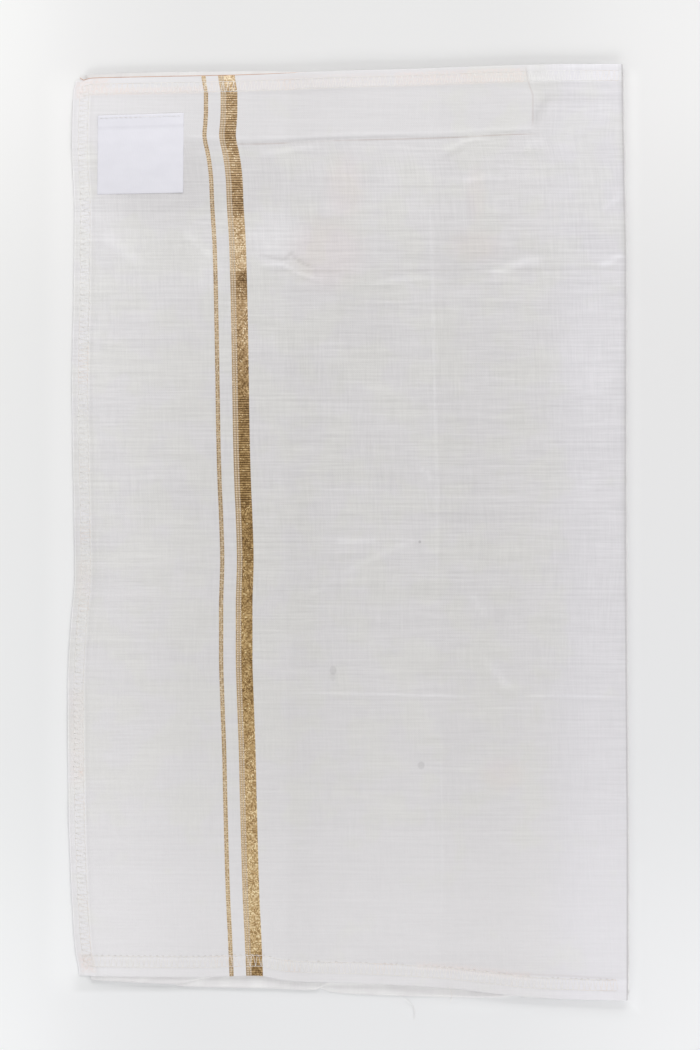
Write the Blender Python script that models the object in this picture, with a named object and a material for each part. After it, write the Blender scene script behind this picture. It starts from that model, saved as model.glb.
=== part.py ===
"""A dhoti cloth, folded flat.

A narrow length of sheer white cotton is hemmed all round and folded in four, so that
one layer shows from above and three lie hidden under it.  A band runs under the
visible layer along its top end, and a tape label is stitched onto it.

The packet lies on its back.  +X runs across it, from the hemmed edge to the fold,
+Y runs along it towards the banded end, and +Z points up.  The origin is under the
middle of the packet.  Tables are in millimetres, everything built is in metres.
"""

import math

import bmesh
import bpy
from mathutils import Vector

MM = 0.001

# Cloth and its layers
CLOTH = 1.0 * MM  # a single wall of cloth
SEAM_GAP = 0.3 * MM  # between pieces that lie on each other
STACK_LEFT = 1.8 * MM  # the hidden folds, pressed thin towards the open edges
STACK_RIGHT = 2.7 * MM  # and springing up towards the fold
HIDDEN_LAYERS = 3

# The packet's straight outline, before its edges wander
LEFT, RIGHT = -124.0, 125.3
BOTTOM, TOP = -204.0, 207.5

# Hems: the raw edge turned once onto the visible side
SIDE_HEM, BOTTOM_HEM, TOP_HEM = 8.0, 9.8, 8.0
HEM_RISE = 0.4 * MM
HEM_STEP = 0.8  # the run over which a hem's inner edge drops
EDGE_BULGE = 0.25 * MM  # a folded edge is round

# The fold along the right side
FOLD_RADIUS = 1.5 * MM
FOLD_STEPS = 4
LOWER_FOLD_REACH = 0.6  # the lowest hidden fold shows beside the visible one
UPPER_FOLDS_BACK = 2.2  # the others lie inside the visible fold

# The left hem droops off the hidden layers
DROOP = 1.2 * MM
DROOP_REACH = 5.0

# Spacing of the walls' grid lines
ACROSS, ALONG = 8.5, 8.5

# Stretches along an end and along a side of the flat pieces' outlines
FOLD_OUTLINE_STEPS = (38, 16)
BAND_OUTLINE_STEPS = (16, 4)

# Edges of the visible layer: y or x along the edge, and how far it stands out from
# the straight outline there.
LEFT_EDGE = (
    # y, out
    (-200, -3.0),
    (-190, -1.5),
    (-179, -0.5),
    (-152, 0.9),
    (-125, 1.8),
    (-71, 2.2),
    (-44, 0.9),
    (-17, -1.1),
    (10, -0.7),
    (64, 0.2),
    (118, -0.7),
    (145, -0.9),
    (172, 0.2),
    (199, -0.5),
    (204, -1.6),
)
RIGHT_EDGE = (
    # y, out
    (-211, 0.7),
    (-148, 0.7),
    (-67, 0.2),
    (14, -0.2),
    (122, -0.2),
    (149, -0.7),
    (211, -1.6),
)
BOTTOM_EDGE = (
    # x, out
    (-124, -3.9),
    (-115, -3.7),
    (-70, -3.3),
    (-41, -4.0),
    (-26, -1.5),
    (10, -0.4),
    (46, 1.7),
    (64, 3.7),
    (82, 5.7),
    (100, 6.6),
    (126, 7.1),
)
TOP_EDGE = (
    # x, out
    (-124, -4.1),
    (-98, -3.2),
    (-44, -1.8),
    (-8, 0.1),
    (28, 1.1),
    (64, 2.4),
    (100, 3.3),
    (126, 3.3),
)

# Bottom edges of the hidden folds, lowest first; each comes into view on its own
# stretch and is tucked in behind the visible layer elsewhere.
LOWEST_BOTTOM = (
    # x, out
    (-124, -6.0),
    (-40, -2.5),
    (-16, 0.2),
    (-9, 3.4),
    (6, 4.8),
    (46, 5.9),
    (64, 6.2),
    (82, 5.0),
    (126, 5.4),
)
MIDDLE_BOTTOM = (
    # x, out
    (-124, -5.0),
    (-84, -2.6),
    (-78, 0.8),
    (-55, 1.7),
    (-35, 2.1),
    (-15, 2.8),
    (-9, 0.0),
    (46, 0.0),
    (126, 3.0),
)
UPPER_BOTTOM = (
    # x, out
    (-124, -2.4),
    (-117, -1.9),
    (-77, -0.1),
    (-66, -2.2),
    (-54, -4.6),
    (0, -3.0),
    (126, 4.0),
)

# The hidden folds' left ends and top ends, tucked in under the visible layer
FOLD_LEFT_INSET = (6.6, 8.4, 5.4)  # lowest, middle, upper
FOLD_TOP_INSET = (3.4, 4.2, 2.6)
FOLD_CORNER = 2.5

# The band under the top end
BAND_LEFT = -117.6
BAND_CORNER = 3.2
BAND_LOWER = (
    # x, y
    (-124, 175.6),
    (-71, 175.5),
    (-44, 174.8),
    (-3, 176.4),
    (42, 177.5),
    (83, 179.2),
)
BAND_UPPER = (
    # x, y
    (-124, 206.0),
    (-98, 207.0),
    (-44, 207.7),
    (0, 207.2),
    (83, 208.6),
)
BAND_END = (
    # y, x
    (176, 83.7),
    (196, 83.7),
    (202, 81.9),
    (210, 80.6),
)
BAND_CLEAR = 0.8  # the visible layer stays at full height this far past the band
BAND_SLOPE = 5.5  # and comes down over this run

# Marks left where the packet was pressed and opened again: low ridges
PRESSED_MARKS = (
    # axis, at, start, end, height
    ("y", 117.9, -42.0, 130.0, 0.35),
    ("y", -73.4, -24.0, 130.0, 0.30),
    ("x", 38.3, -186.0, 172.0, 0.25),
)
MARK_HALF_WIDTH = 2.6

# Places where the visible layer stands off those below
BILLOWS = (
    # x, y, reach across, reach along, height
    (-70.0, 60.0, 42.0, 70.0, 0.45),
    (60.0, 20.0, 55.0, 62.0, 0.50),
    (-60.0, -120.0, 46.0, 55.0, 0.40),
    (75.0, -135.0, 42.0, 48.0, 0.45),
    (100.0, 150.0, 20.0, 26.0, 0.35),
)

# The label: its corners on the panel, and its top end folded over
LABEL_TOP_LEFT, LABEL_TOP_RIGHT = (-112.2, 187.5), (-73.5, 188.7)
LABEL_BOTTOM_LEFT, LABEL_BOTTOM_RIGHT = (-112.5, 152.0), (-73.8, 152.8)
LABEL_FOLD = 5.4
LABEL_FOLD_RISE = 0.3 * MM
LABEL_SPACING = 3.0
LABEL_REACH = 3.5  # the stiff tape bridges steps this long

WHITE_COTTON = (0.76, 0.74, 0.74)
SHADED_COTTON = (0.70, 0.68, 0.67)
SATIN = (0.80, 0.79, 0.84)


def curve(table):
    """A smooth function through a table's rows, level with its end rows outside."""
    at = [row[0] for row in table]
    out = [row[1] for row in table]
    steps = [(b - a) / (y - x) for a, b, x, y in zip(out, out[1:], at, at[1:])]
    slopes = [0.0]
    for before, after in zip(steps, steps[1:]):
        # A harmonic mean keeps the curve from overshooting its rows
        slopes.append(2 * before * after / (before + after) if before * after > 0 else 0.0)
    slopes.append(0.0)

    def value(x):
        if x <= at[0]:
            return out[0]
        if x >= at[-1]:
            return out[-1]
        k = next(i for i in range(len(at) - 1) if x <= at[i + 1])
        run = at[k + 1] - at[k]
        t = (x - at[k]) / run
        return (
            out[k] * (1 + 2 * t) * (1 - t) ** 2
            + out[k + 1] * t * t * (3 - 2 * t)
            + slopes[k] * run * t * (1 - t) ** 2
            - slopes[k + 1] * run * t * t * (1 - t)
        )

    return value


def ease(t):
    """0 to 1, level at both ends."""
    t = min(max(t, 0.0), 1.0)
    return t * t * (3 - 2 * t)


left_out, right_out = curve(LEFT_EDGE), curve(RIGHT_EDGE)
bottom_out, top_out = curve(BOTTOM_EDGE), curve(TOP_EDGE)
band_lower, band_upper, band_end = curve(BAND_LOWER), curve(BAND_UPPER), curve(BAND_END)


def left_edge(y):
    return LEFT - left_out(y)


def right_edge(y):
    return RIGHT + right_out(y)


def bottom_edge(x):
    return BOTTOM - bottom_out(x)


def top_edge(x):
    return TOP + top_out(x)


# Heights, in metres, over a place in millimetres


def stack_top(x):
    """The hidden folds' top: a plane that rises towards the fold."""
    share = (x - LEFT) / (RIGHT - LEFT)
    return STACK_LEFT + (STACK_RIGHT - STACK_LEFT) * share


def over_band(x, y):
    """How much of the band's height the visible layer takes up here."""
    past_end = x - band_end(y)
    past_lower = band_lower(x) - y
    past = math.hypot(max(past_end, 0.0), max(past_lower, 0.0))
    return 1.0 - min(max((past - BAND_CLEAR) / BAND_SLOPE, 0.0), 1.0)


def pressed(x, y):
    """Height of the pressed marks."""
    height = 0.0
    for axis, at, start, end, rise in PRESSED_MARKS:
        across, along = (y - at, x) if axis == "y" else (x - at, y)
        fade = ease((along - start) / 25.0) * ease((end - along) / 25.0)
        height = max(height, rise * fade * max(1 - abs(across) / MARK_HALF_WIDTH, 0.0))
    return height * MM


def billow(x, y):
    """Height of the soft swells."""
    height = 0.0
    for at_x, at_y, reach_x, reach_y, rise in BILLOWS:
        height += rise * ease(1 - math.hypot((x - at_x) / reach_x, (y - at_y) / reach_y))
    return height * MM


def droop(x, y):
    """How far the left hem hangs below the rest."""
    return DROOP * (1 - ease((x - left_edge(y)) / DROOP_REACH))


def panel_under(x, y):
    """The visible layer's underside."""
    band = over_band(x, y) * (CLOTH + SEAM_GAP)
    return stack_top(x) + SEAM_GAP + band + pressed(x, y) + billow(x, y) - droop(x, y)


def hem_share(x, y):
    """1 on a hem, 0 inside it, and between them over the hem's step."""
    inside = min(
        x - left_edge(y) - SIDE_HEM,
        y - bottom_edge(x) - BOTTOM_HEM,
        top_edge(x) - TOP_HEM - y,
    )
    return 1.0 - min(max(inside / HEM_STEP, 0.0), 1.0)


def panel_over(x, y):
    """The visible layer's upper side."""
    return panel_under(x, y) + CLOTH + HEM_RISE * hem_share(x, y)


# Meshes


def material(name, colour, roughness):
    made = bpy.data.materials.new(name)
    made.use_nodes = True
    shader = made.node_tree.nodes["Principled BSDF"]
    shader.inputs["Base Color"].default_value = (*colour, 1.0)
    shader.inputs["Roughness"].default_value = roughness
    shader.inputs["Metallic"].default_value = 0.0
    return made


def add_object(name, build, made_of):
    """An object from a bmesh, its faces turned out and shaded smooth but for its rims."""
    bmesh.ops.recalc_face_normals(build, faces=build.faces)
    mesh = bpy.data.meshes.new(name)
    build.to_mesh(mesh)
    build.free()
    mesh.shade_smooth()
    mesh.set_sharp_from_angle(angle=math.radians(50))
    mesh.materials.append(made_of)
    placed = bpy.data.objects.new(name, mesh)
    bpy.context.scene.collection.objects.link(placed)
    return placed


def wall(name, over, under, made_of, last_column_out=Vector((1, 0, 0))):
    """A wall of cloth between two grids of points, with round rims."""
    build = bmesh.new()
    rows, columns = len(over), len(over[0])
    grids = [[[build.verts.new(p) for p in row] for row in grid] for grid in (over, under)]
    for grid in grids:
        for j in range(rows - 1):
            for i in range(columns - 1):
                near, far = grid[j], grid[j + 1]
                build.faces.new((near[i], near[i + 1], far[i + 1], far[i]))
    border = [(0, i) for i in range(columns - 1)]
    border += [(j, columns - 1) for j in range(rows - 1)]
    border += [(rows - 1, i) for i in range(columns - 1, 0, -1)]
    border += [(j, 0) for j in range(rows - 1, 0, -1)]
    rim = []
    for j, i in border:
        out = Vector((0, 0, 0))
        out += Vector((0, (j == rows - 1) - (j == 0), 0))
        out += Vector((-1, 0, 0)) * (i == 0) + last_column_out * (i == columns - 1)
        middle = (over[j][i] + under[j][i]) / 2
        rim.append(build.verts.new(middle + out.normalized() * EDGE_BULGE))
    for k, (j, i) in enumerate(border):
        after = (k + 1) % len(border)
        next_j, next_i = border[after]
        for grid in grids:
            build.faces.new((grid[j][i], grid[next_j][next_i], rim[after], rim[k]))
    return add_object(name, build, made_of)


def stacked(name, loops, made_of):
    """A solid through closed loops of points, one above another, with flat ends."""
    build = bmesh.new()
    rings = [[build.verts.new(point) for point in loop] for loop in loops]
    count = len(rings[0])
    for lower, upper in zip(rings, rings[1:]):
        for k in range(count):
            after = (k + 1) % count
            build.faces.new((lower[k], lower[after], upper[after], upper[k]))
    ends = [build.faces.new(rings[0]), build.faces.new(rings[-1])]
    bmesh.ops.triangulate(build, faces=ends)
    return add_object(name, build, made_of)


def between(start, end, spacing):
    """Shares from 0 up to 1, 1 left out, so that steps are about one spacing."""
    count = max(1, round(abs(end - start) / spacing))
    return [k / count for k in range(count)]


def grid_lines(keys, spacing):
    """Lines through and between key lines; each key is a function of the other axis."""
    lines = []
    for first, second in zip(keys, keys[1:]):
        for share in between(first(0.0), second(0.0), spacing):
            lines.append(lambda at, a=first, b=second, s=share: a(at) + (b(at) - a(at)) * s)
    return [*lines, keys[-1]]


def crossing(column, row):
    """Where a column line, x from y, meets a row line, y from x."""
    x, y = column(row(0.0)), row(0.0)
    for _ in range(4):
        x = column(y)
        y = row(x)
    return x, y


# The visible layer


def panel_columns():
    """Lines up the panel, from its hemmed edge to where the fold begins."""
    mark = PRESSED_MARKS[2][1]
    keys = (
        left_edge,
        lambda y: left_edge(y) + DROOP_REACH / 2,
        lambda y: left_edge(y) + DROOP_REACH,
        lambda y: left_edge(y) + SIDE_HEM,
        lambda y: left_edge(y) + SIDE_HEM + HEM_STEP,
        lambda y: mark - MARK_HALF_WIDTH,
        lambda y: mark,
        lambda y: mark + MARK_HALF_WIDTH,
        lambda y: band_end(y) + BAND_CLEAR,
        lambda y: band_end(y) + BAND_CLEAR + BAND_SLOPE,
        lambda y: right_edge(y) - FOLD_RADIUS / MM - HEM_RISE / MM,
    )
    return grid_lines(keys, ACROSS)


def panel_rows():
    """Lines across the panel, from its bottom edge to its top edge."""
    upper, lower = PRESSED_MARKS[0][1], PRESSED_MARKS[1][1]
    keys = (
        bottom_edge,
        lambda x: bottom_edge(x) + BOTTOM_HEM,
        lambda x: bottom_edge(x) + BOTTOM_HEM + HEM_STEP,
        lambda x: lower - MARK_HALF_WIDTH,
        lambda x: lower,
        lambda x: lower + MARK_HALF_WIDTH,
        lambda x: upper - MARK_HALF_WIDTH,
        lambda x: upper,
        lambda x: upper + MARK_HALF_WIDTH,
        lambda x: band_lower(x) - BAND_CLEAR - BAND_SLOPE,
        lambda x: band_lower(x) - BAND_CLEAR,
        lambda x: top_edge(x) - TOP_HEM - HEM_STEP,
        lambda x: top_edge(x) - TOP_HEM,
        top_edge,
    )
    return grid_lines(keys, ALONG)


def fold_section(x, y):
    """The panel's upper and under points round its fold, from its flat to its lip."""
    high = panel_over(x, y)
    rise = HEM_RISE * hem_share(x, y)
    outer = FOLD_RADIUS + rise
    inner = FOLD_RADIUS - CLOTH
    middle_x, middle_z = right_edge(y) * MM - outer, high - outer
    over, under = [], []
    for k in range(FOLD_STEPS + 1):
        turn = math.radians(90 - 90 * k / FOLD_STEPS)
        for points, radius in ((over, outer), (under, inner)):
            z = middle_z + radius * math.sin(turn)
            points.append(Vector((middle_x + radius * math.cos(turn), y * MM, z)))
    lip = stack_top(RIGHT) / HIDDEN_LAYERS + SEAM_GAP + EDGE_BULGE
    for points in (over, under):
        points.append(Vector((points[-1].x, y * MM, lip)))
    return over, under


def dhoti_panel(cotton):
    over, under = [], []
    columns = panel_columns()
    for row in panel_rows():
        over_row, under_row = [], []
        for column in columns[:-1]:
            x, y = crossing(column, row)
            over_row.append(Vector((x * MM, y * MM, panel_over(x, y))))
            under_row.append(Vector((x * MM, y * MM, panel_under(x, y))))
        fold_over, fold_under = fold_section(*crossing(columns[-1], row))
        over.append(over_row + fold_over)
        under.append(under_row + fold_under)
    return wall("dhoti_panel", over, under, cotton, last_column_out=Vector((0, 0, -1)))


# The folds under it


def outline(left, right, bottom, top, corner, steps, inset=0.0):
    """A closed loop of x, y round four edges, with round corners.

    Left and right give x from y, bottom and top give y from x.  Steps says how many
    stretches an end and a side have.
    """
    low_x, high_x = left(0.0) + corner, right(0.0) - corner
    low_y, high_y = bottom(0.0) + corner, top(0.0) - corner
    xs = [low_x + (high_x - low_x) * k / steps[0] for k in range(steps[0] + 1)]
    ys = [low_y + (high_y - low_y) * k / steps[1] for k in range(steps[1] + 1)]

    def rounded(x, y, side_x, side_y):
        centre_x, centre_y = x - side_x * corner, y - side_y * corner
        reach = (corner - inset) * math.sqrt(0.5)
        return centre_x + side_x * reach, centre_y + side_y * reach

    corners = {}
    for side_x, side in ((-1, left), (1, right)):
        for side_y, end in ((-1, bottom), (1, top)):
            y = (low_y, high_y)[side_y > 0] + side_y * corner
            x = side(y)
            corners[side_x, side_y] = rounded(x, end(x), side_x, side_y)
    loop = [corners[-1, -1]]
    loop += [(x, bottom(x) + inset) for x in xs]
    loop += [corners[1, -1]]
    loop += [(right(y) - inset, y) for y in ys]
    loop += [corners[1, 1]]
    loop += [(x, top(x) - inset) for x in reversed(xs)]
    loop += [corners[-1, 1]]
    loop += [(left(y) + inset, y) for y in reversed(ys)]
    return loop


def raised(loop, height):
    """A loop's points in metres, at the height that a function of x gives."""
    return [Vector((x * MM, y * MM, height(x))) for x, y in loop]


def fold_edges(layer):
    """The left, right, bottom and top edges of one hidden fold, the lowest being 0."""
    bottom = curve((LOWEST_BOTTOM, MIDDLE_BOTTOM, UPPER_BOTTOM)[layer])
    reach = LOWER_FOLD_REACH if layer == 0 else -UPPER_FOLDS_BACK
    return (
        lambda y: left_edge(y) + FOLD_LEFT_INSET[layer],
        lambda y: right_edge(y) + reach,
        lambda x: BOTTOM - bottom(x),
        lambda x: top_edge(x) - FOLD_TOP_INSET[layer],
    )


def inner_edges(first, second):
    """The edges that lie inside both of two sets."""
    pairs = list(zip(first, second))
    picks = (max, min, max, min)
    return [lambda at, p=pair, f=pick: f(p[0](at), p[1](at)) for pair, pick in zip(pairs, picks)]


def folded_layers(cotton):
    """Three hidden folds in one solid: round edges, with a groove between each two."""
    edge_share, edge_inset, groove_inset = 0.16, 0.22, 0.8
    loops = []

    def height_at(layers):
        return lambda x: stack_top(x) * layers / HIDDEN_LAYERS

    for layer in range(HIDDEN_LAYERS):
        edges = fold_edges(layer)
        for share, inset in ((edge_share, edge_inset), (0.5, 0.0), (1 - edge_share, edge_inset)):
            if layer == 0 and share == edge_share:
                share = 0.0
            if layer == HIDDEN_LAYERS - 1 and share == 1 - edge_share:
                share = 1.0
            loops.append(raised(outline(*edges, FOLD_CORNER, FOLD_OUTLINE_STEPS, inset), height_at(layer + share)))
        if layer < HIDDEN_LAYERS - 1:
            shared = inner_edges(edges, fold_edges(layer + 1))
            groove = outline(*shared, FOLD_CORNER, FOLD_OUTLINE_STEPS, groove_inset)
            loops.append(raised(groove, height_at(layer + 1)))
    return stacked("folded_layers", loops, cotton)


def inner_band(cotton):
    """The band on the hidden folds, a flat strip with round edges."""
    edges = (lambda y: BAND_LEFT, band_end, band_lower, band_upper)
    loops = []
    for share, inset in ((0.0, 0.25), (0.25, 0.0), (0.75, 0.0), (1.0, 0.25)):
        loop = outline(*edges, BAND_CORNER, BAND_OUTLINE_STEPS, inset)
        loops.append(raised(loop, lambda x, s=share: stack_top(x) + SEAM_GAP + CLOTH * s))
    return stacked("inner_band", loops, cotton)


def sewn_label(satin):
    """The label, lifted off the panel's own upper side."""

    def corner_mix(share_x, share_y):
        ends = []
        for lower, upper in (
            (LABEL_BOTTOM_LEFT, LABEL_TOP_LEFT),
            (LABEL_BOTTOM_RIGHT, LABEL_TOP_RIGHT),
        ):
            ends.append([a + (b - a) * share_y for a, b in zip(lower, upper)])
        return [a + (b - a) * share_x for a, b in zip(*ends)]

    def seat(x, y):
        steps = (-LABEL_REACH, -LABEL_REACH / 2, 0.0, LABEL_REACH / 2, LABEL_REACH)
        return max(panel_over(x + dx, y + dy) for dx in steps for dy in steps) + SEAM_GAP

    width = LABEL_TOP_RIGHT[0] - LABEL_TOP_LEFT[0]
    length = LABEL_TOP_LEFT[1] - LABEL_BOTTOM_LEFT[1]
    fold_at = 1 - LABEL_FOLD / length
    step = HEM_STEP / length
    rows = [s * (fold_at - step) for s in between(0, length, LABEL_SPACING)]
    rows += [fold_at - step, fold_at, (fold_at + 1) / 2, 1.0]
    columns = [*between(0, width, LABEL_SPACING), 1.0]
    over, under = [], []
    for share_y in rows:
        rise = LABEL_FOLD_RISE if share_y >= fold_at else 0.0
        places = [corner_mix(share_x, share_y) for share_x in columns]
        under.append([Vector((x * MM, y * MM, seat(x, y))) for x, y in places])
        lift = Vector((0, 0, CLOTH + rise))
        over.append([point + lift for point in under[-1]])
    return wall("sewn_label", over, under, satin)


def main():
    for leftover in list(bpy.data.objects):
        bpy.data.objects.remove(leftover)
    visible = material("white_cotton", WHITE_COTTON, 0.85)
    hidden = material("shaded_cotton", SHADED_COTTON, 0.88)
    band = material("band_cotton", WHITE_COTTON, 0.85)
    satin = material("label_satin", SATIN, 0.42)
    dhoti_panel(visible)
    folded_layers(hidden)
    inner_band(band)
    sewn_label(satin)


main()
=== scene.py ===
"""Looks for the folded dhoti cloth.

The packet lies flat and is seen straight from above.  Its visible layer, hidden folds,
band and label are thin shells on the forms of their solids; the overlock, the label's
stitches and the loose ends are threads; weave, slubs, woven gold and marks are
procedural materials.  Tables and shape functions are in millimetres, in the row frame.
"""

import math

import bpy
import numpy as np
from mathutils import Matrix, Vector


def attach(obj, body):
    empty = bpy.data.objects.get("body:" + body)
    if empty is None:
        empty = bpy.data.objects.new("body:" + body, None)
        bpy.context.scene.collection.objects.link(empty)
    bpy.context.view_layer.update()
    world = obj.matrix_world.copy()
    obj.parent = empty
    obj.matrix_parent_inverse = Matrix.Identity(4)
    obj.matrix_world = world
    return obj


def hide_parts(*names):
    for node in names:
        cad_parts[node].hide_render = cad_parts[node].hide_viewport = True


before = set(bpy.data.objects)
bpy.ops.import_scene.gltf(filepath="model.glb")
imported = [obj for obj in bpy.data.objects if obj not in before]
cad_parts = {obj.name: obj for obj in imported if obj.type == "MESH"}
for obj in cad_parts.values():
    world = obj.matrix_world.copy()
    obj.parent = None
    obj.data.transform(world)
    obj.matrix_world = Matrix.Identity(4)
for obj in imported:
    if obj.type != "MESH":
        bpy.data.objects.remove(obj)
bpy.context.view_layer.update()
MM = 0.001

# ---- curves ----


def curve(*rows):
    """A smooth function through rows of places and values, level outside them."""
    at, out = np.array(rows, float).T
    step = np.diff(out) / np.diff(at)
    slope = np.zeros(len(at))
    same = step[:-1] * step[1:] > 0
    with np.errstate(divide="ignore", invalid="ignore"):
        mean = 2 * step[:-1] * step[1:] / (step[:-1] + step[1:])
    slope[1:-1] = np.where(same, mean, 0)

    def value(x):
        x = np.clip(np.asarray(x, float), at[0], at[-1])
        k = np.clip(np.searchsorted(at, x, side="right") - 1, 0, len(at) - 2)
        run = at[k + 1] - at[k]
        t = (x - at[k]) / run
        ends = out[k] * (1 + 2 * t) * (1 - t) ** 2 + out[k + 1] * t * t * (3 - 2 * t)
        return ends + slope[k] * run * t * (1 - t) ** 2 - slope[k + 1] * run * t * t * (1 - t)

    return value


def ease(t):
    """0 to 1, level at both ends."""
    t = np.clip(t, 0, 1)
    return t * t * (3 - 2 * t)


def part_way(a, b, share):
    return a + (b - a) * share


# ---- named sizes ----

# The packet's straight outline, before its edges wander out from it
LEFT, RIGHT = -124, 125.8
BOTTOM, TOP = -204, 207.5

# The hidden folds' top rises from the open edges to the fold
STACK_LEFT, STACK_RIGHT = 1.8, 2.7

# Cloth, and how high the visible layer's upper side lies over the hidden folds
CLOTH = 0.36
PANEL_REST = 0.95
HEM_WIDTH = {"left": 8, "bottom": 9.8, "top": 8}
HEM_STEP = 0.45
HEM_RISE = {"left": 0.16, "bottom": 0.2, "top": 0.18}
EDGE_ROUND = 0.7  # an outer edge rolls over this width
EDGE_DROP = {"left": 0.05, "bottom": 0.14, "top": 0.14}  # and by this much
EDGE_DROOP = (
    # side, drop, reach
    ("left", 2.42, 8.5),
    ("bottom", 1.1, 12),
    ("top", 0.8, 10),
)
SWELLS, SWELL_HEIGHT = 26, 0.035
SHORTEST_SWELL, LONGEST_SWELL = 9, 46

# The visible layer turns under at the right and runs on between the folds
FOLD_RADIUS = 0.88
FOLD_TUCK = 11
LOWER_FOLD_REACH = 0.3  # the hidden folds reach this far past it

GRID, FINE_GRID = 1.9, 0.65  # spacing of the visible layer's grid, and at its creases

left_out = curve(
    # y, out
    (-200, -3), (-190, -1.5), (-179, -0.5), (-152, 0.9), (-125, 1.8), (-71, 2.2), (-44, 0.9),
    (-17, -1.1), (10, -0.7), (64, 0.2), (118, -0.7), (145, -0.9), (172, 0.2), (199, -0.5), (204, -1.6),
)
right_out = curve(
    # y, out
    (-211, 0.7), (-148, 0.7), (-67, 0.2), (14, -0.2), (122, -0.2), (149, -0.7), (211, -1.6),
)
bottom_out = curve(
    # x, out
    (-124, -3.9), (-115, -3.7), (-70, -3.3), (-41, -4), (-26, -1.5), (10, -0.4), (46, 1.7), (64, 3.7),
    (82, 5.7), (100, 6.6), (126, 7.1),
)
top_out = curve(
    # x, out
    (-124, -4.2), (-119, -3.5), (-115, -2.8), (-98, -2.4), (-44, -1.3), (-8, 0.1), (28, 1.1), (64, 2.4),
    (100, 3.3), (126, 3.3),
)

# Hidden folds, from the one under the visible layer down: their bottom edges
fold_bottom_out = (
    # x, out
    curve((-124, -2.4), (-117, -1.9), (-77, -0.1), (-66, -2.2), (-54, -4.6), (0, -3), (126, 4)),
    curve((-124, -5), (-84, -2.6), (-78, 0.8), (-55, 1.7), (-35, 2.1), (-15, 2.8), (-9, 0), (46, 0),
          (126, 3)),
    curve((-124, -6), (-40, -2.5), (-16, 0.2), (-9, 3.4), (6, 4.8), (46, 5.9), (64, 6.2), (82, 5),
          (126, 5.4)),
)
FOLD_TOPS = (2.6, 4.2, 3.4)  # how far their top ends lie inside the visible layer's
FOLD_HEIGHTS = (0.83, 0.48, 0.14)  # shares of the stack's height, at mid cloth
FOLD_DROOP, FOLD_DROOP_REACH = 0.42, 24  # share lost at the ends
FOLD_LEFT = (5.6, 6.6)  # the left fold and the lowest layer's free end, in from the edge
FOLD_HEM, FOLD_HEM_STEP, FOLD_HEM_RISE = 8.5, 0.6, (0.06, 0.03)  # rise: upper, lower layers
FOLD_SWELL = 0.22  # share of the cloth's swells, as they are some way off
FOLD_LOWEST = 0.2  # their sheet's middle comes no lower
FOLD_COLUMNS, FOLD_TURN_STEPS, FOLD_ROWS = 44, 8, 60  # its grid: on a layer, round a turn, along
GAP = 0.06  # between the visible layer and what lies under it

# The band under the top end
BAND_LEFT = -118
BAND_GRID = 2.4
band_lower = curve(
    # x, y
    (-124, 175.6), (-71, 175.5), (-44, 174.8), (-3, 176.4), (42, 177.5), (83, 179.2),
)
band_upper = curve(
    # x, y
    (-124, 206), (-98, 207), (-44, 207.7), (0, 207.2), (83, 208.6),
)
band_end = curve(
    # y, x
    (176, 83.7), (196, 83.7), (202, 81.9), (210, 80.6),
)
BAND_INSET = 1.6  # from the band's line to its modelled edge
BAND_END_SLOPE = 5
BAND_REST, BAND_SWELL, BAND_HEM = 0.6, 0.3, 5.8
BAND_DROOP, BAND_DROOP_REACH = 0.55, 9
# Its overlocked edge is a ridge that starts some way along it
BAND_ROLL, BAND_ROLL_IN, BAND_ROLL_HALF = 0.14, 2.4, 1.3
BAND_ROLL_FROM, BAND_ROLL_EASE = -80, 16
band_slope = curve(
    # x, width of the slope below the band's edge
    (-124, 8), (-74, 5), (-52, 2.6), (-34, 1.7), (-14, 1.1), (24, 1.1), (36, 1.8), (50, 3), (62, 2.8),
    (70, 1.1), (82, 1.2), (90, 4),
)
band_rise = curve(
    # x, height the visible layer gains over the band
    (-124, 0.26), (-74, 0.3), (-48, 0.34), (-10, 0.44), (24, 0.4), (44, 0.24), (58, 0.22), (66, 0.3),
    (84, 0.32),
)

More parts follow.
